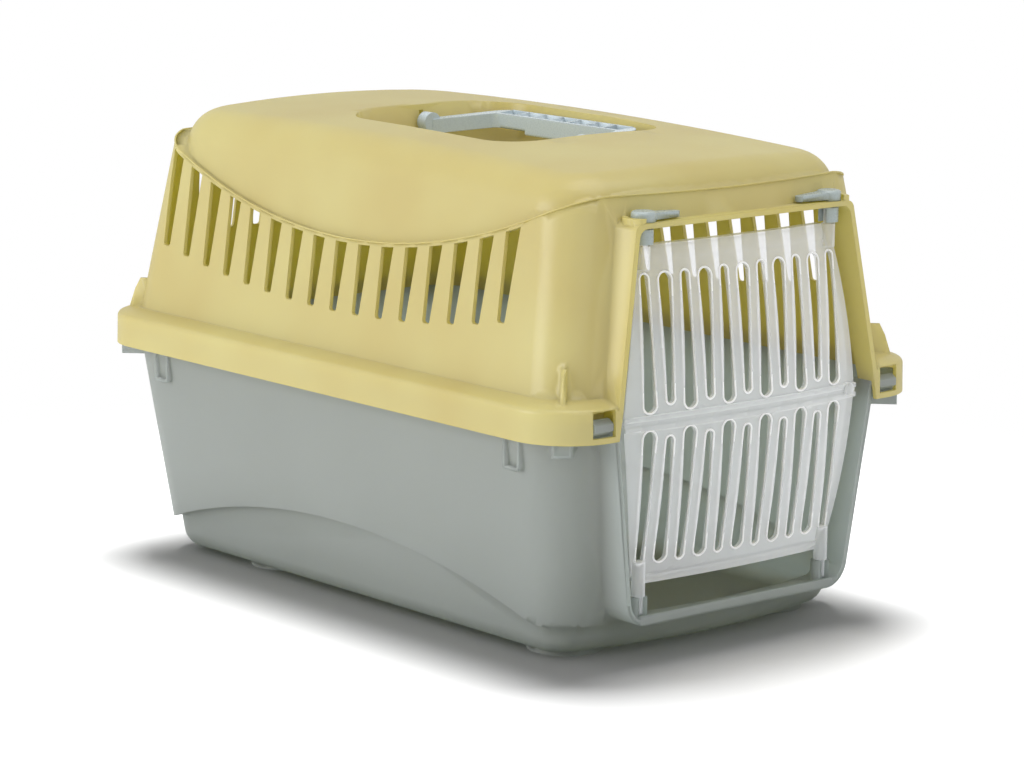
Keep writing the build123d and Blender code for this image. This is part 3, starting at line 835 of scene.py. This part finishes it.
@dataclass
class Studio:
    """Floor, lamps, world and the camera at the photograph's angle, in metres."""

    camera_place: Point = (-1.5053, -1.7747, 0.5655)
    azimuth_deg: float = -40.525
    elevation_deg: float = 10.730
    roll_deg: float = 0.503
    lens_mm: float = 131.9
    sensor_mm: float = 36.0
    camera_reach: float = 20.0
    floor_colour: str = "#CDCDCD"
    floor_half: float = 3.0
    floor_seen: float = 0.36
    floor_gone: float = 0.62
    floor_glow: float = 0.01
    world_strength: float = 0.36
    aim: Point = (0.0, 0.0, 0.15)
    carrier_lamps: Tuple[SoftBox, ...] = (
        SoftBox("top_box", (0.1, -0.3, 1.9), 1.3, 20.0),
        SoftBox("side_box", (-2.3, 0.8, 0.8), 1.4, 42.0),
        SoftBox("front_box", (-0.4, -2.1, 1.3), 1.2, 10.0),
    )
    floor_lamp: SoftBox = SoftBox("floor_box", (0.25, 0.35, 2.2), 1.1, 132.0)

    def build(self) -> None:
        """Set up the stage, the light and the camera."""
        self.make_camera()
        floor = self.make_floor()
        self.make_world()
        self.make_lamps(floor)

    def make_camera(self) -> None:
        """Place the camera that looks along the fitted direction."""
        angles = (self.azimuth_deg, self.elevation_deg, self.roll_deg)
        azimuth, elevation, roll = (math.radians(angle) for angle in angles)
        level = math.cos(elevation)
        back = Vector(
            (math.sin(azimuth) * level, -math.cos(azimuth) * level, math.sin(elevation))
        )
        right = (-back).cross(Vector((0, 0, 1))).normalized()
        up = right.cross(-back)
        turned_right = right * math.cos(roll) + up * math.sin(roll)
        turned_up = up * math.cos(roll) - right * math.sin(roll)
        lens = bpy.data.cameras.new("camera")
        lens.lens = self.lens_mm
        lens.sensor_width = self.sensor_mm
        lens.clip_end = self.camera_reach
        camera = bpy.data.objects.new("camera", lens)
        turn = Matrix((turned_right, turned_up, back)).transposed().to_4x4()
        camera.matrix_world = Matrix.Translation(self.camera_place) @ turn
        bpy.context.scene.collection.objects.link(camera)
        bpy.context.scene.camera = camera

    def seen_ray(self, tree: NodeTree) -> Node:
        """Tell rays that show the background from rays that carry light.

        Args:
            tree: node tree that gets the nodes.

        Returns:
            Node that gives one for camera, mirrored and refracted rays, and zero for others.
        """
        path = add(tree, "ShaderNodeLightPath")
        mirrored = add(
            tree,
            MATH,
            {"operation": "MAXIMUM"},
            {0: path.outputs["Is Glossy Ray"], 1: path.outputs["Is Transmission Ray"]},
        )
        return add(
            tree, MATH, {"operation": "MAXIMUM"}, {0: path.outputs["Is Camera Ray"], 1: mirrored}
        )

    def floor_material(self) -> Material:
        """Build matte pale paper that fades into the white behind it, for seen rays alone.

        Returns:
            The finished material.
        """
        material, tree = new_material("studio_floor")
        matte = add(tree, "ShaderNodeBsdfDiffuse", inputs={"Color": linear(self.floor_colour)})
        glow = add(
            tree, "ShaderNodeEmission", inputs={"Color": WHITE, "Strength": self.floor_glow}
        )
        lit = add(tree, "ShaderNodeAddShader", inputs={0: matte, 1: glow})
        place = add(tree, "ShaderNodeTexCoord").outputs["Object"]
        away = add(tree, "ShaderNodeVectorMath", {"operation": "LENGTH"}, {0: place})
        fade = add(
            tree,
            "ShaderNodeMapRange",
            {"interpolation_type": "SMOOTHSTEP"},
            {
                "Value": away.outputs["Value"],
                "From Min": self.floor_seen,
                "From Max": self.floor_gone,
            },
        )
        gone = add(tree, "ShaderNodeBsdfTransparent")
        shown = add(tree, "ShaderNodeMixShader", inputs={0: fade, 1: lit, 2: gone})
        mix = add(
            tree, "ShaderNodeMixShader", inputs={0: self.seen_ray(tree), 1: matte, 2: shown}
        )
        add(tree, "ShaderNodeOutputMaterial", inputs={"Surface": mix})
        return material

    def make_floor(self) -> bpy.types.Object:
        """Lay the floor, which keeps the carrier's shadow.

        Returns:
            The floor.
        """
        mesh = bpy.data.meshes.new("floor")
        half = self.floor_half
        corners = [(-half, -half, 0), (half, -half, 0), (half, half, 0), (-half, half, 0)]
        mesh.from_pydata(corners, [], [(0, 1, 2, 3)])
        mesh.materials.append(self.floor_material())
        floor = bpy.data.objects.new("floor", mesh)
        bpy.context.scene.collection.objects.link(floor)
        return floor

    def make_world(self) -> None:
        """Give the room an even white light, and a white sky to the camera."""
        world = bpy.data.worlds.new("studio")
        world.use_nodes = True
        tree = world.node_tree
        tree.nodes.clear()
        room = add(
            tree,
            "ShaderNodeBackground",
            inputs={"Color": WHITE, "Strength": self.world_strength},
        )
        sky = add(tree, "ShaderNodeBackground", inputs={"Color": WHITE, "Strength": 1.0})
        mix = add(
            tree, "ShaderNodeMixShader", inputs={0: self.seen_ray(tree), 1: room, 2: sky}
        )
        add(tree, "ShaderNodeOutputWorld", inputs={"Surface": mix})
        bpy.context.scene.world = world

    def make_lamps(self, floor: bpy.types.Object) -> None:
        """Hang the lamps that light all but the floor, and one that lights the floor alone.

        Args:
            floor: the floor.
        """
        spared = bpy.data.collections.new("all_but_floor")
        spared.objects.link(floor)
        spared.collection_objects[0].light_linking.link_state = "EXCLUDE"
        for lamp in self.carrier_lamps:
            lamp.hang(self.aim, spared)
        alone = bpy.data.collections.new("floor_alone")
        alone.objects.link(floor)
        self.floor_lamp.hang(self.aim, alone)


def main() -> None:
    """Build the carrier and its studio."""
    logging.basicConfig(level=logging.INFO)
    bpy.context.scene.view_settings.view_transform = "Standard"
    for assembly in (UpperShell(), LowerShell(), SlottedDoor(), Fittings(), Studio()):
        assembly.build()
        LOG.info("built %s", type(assembly).__name__)


if __name__ == "__main__":
    main()
